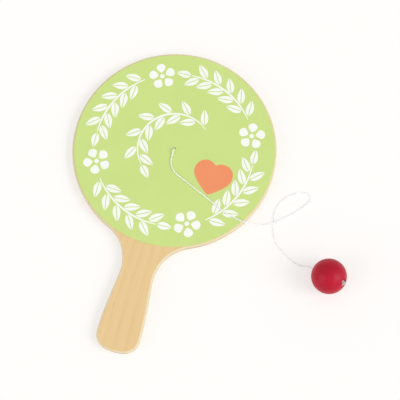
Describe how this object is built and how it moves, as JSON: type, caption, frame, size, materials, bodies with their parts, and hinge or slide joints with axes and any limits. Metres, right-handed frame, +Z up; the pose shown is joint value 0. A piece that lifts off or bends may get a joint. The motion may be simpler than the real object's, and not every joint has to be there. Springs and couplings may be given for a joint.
{
  "type": "paddle ball",
  "caption": "Round-headed wooden bat with a printed face and a tapered-neck handle; a thin elastic through the face ties it to a small red rubber ball.",
  "frame": {"origin": "middle of the footprint of the bat and the ball, at the height of the table they lie on", "axes": "+Z up out of the printed face, -Y along the handle away from the head, +X to the side where the ball lies"},
  "size_m": [0.2186, 0.2286, 0.025],
  "materials": {
    "bat_wood": "pale sanded wood under a thin matt lacquer",
    "printed_film": "smooth matt printed film, light green",
    "elastic_cord": "white braided cover over a rubber core",
    "red_rubber": "smooth satin red rubber"
  },
  "bodies": {
    "bat": {"bat_board": "bat_wood", "face_sheet": "printed_film"},
    "anchor": {"anchor_knot": "elastic_cord", "elastic_in_bat": "elastic_cord"},
    "tether": {"elastic_on_bat": "elastic_cord"},
    "cord_end": {"elastic_to_ball": "elastic_cord", "elastic_in_ball": "elastic_cord", "ball_knot": "elastic_cord"},
    "ball": {"ball": "red_rubber"}
  },
  "joints": [
    {"name": "anchor_swivel", "type": "hinge", "parent": "bat", "child": "anchor", "pos_m": [-0.0343, 0.03929, 0.0083], "axis": [0, 0, 1], "range_deg": [-35, 255]},
    {"name": "ball_lift", "type": "hinge", "parent": "anchor", "child": "tether", "pos_m": [-0.0343, 0.03929, 0.0083], "axis": [0, -1, 0], "range_deg": [0, 150]},
    {"name": "ball_pull", "type": "slide", "parent": "tether", "child": "cord_end", "axis": [0.9005, -0.4348, 0], "range_m": [0, 0.35], "stiffness_N_per_m": 6},
    {"name": "ball_spin", "type": "hinge", "parent": "cord_end", "child": "ball", "pos_m": [0.0968, -0.02401, 0.0125], "axis": [0.8377, -0.2198, 0.5], "continuous": true}
  ]
}
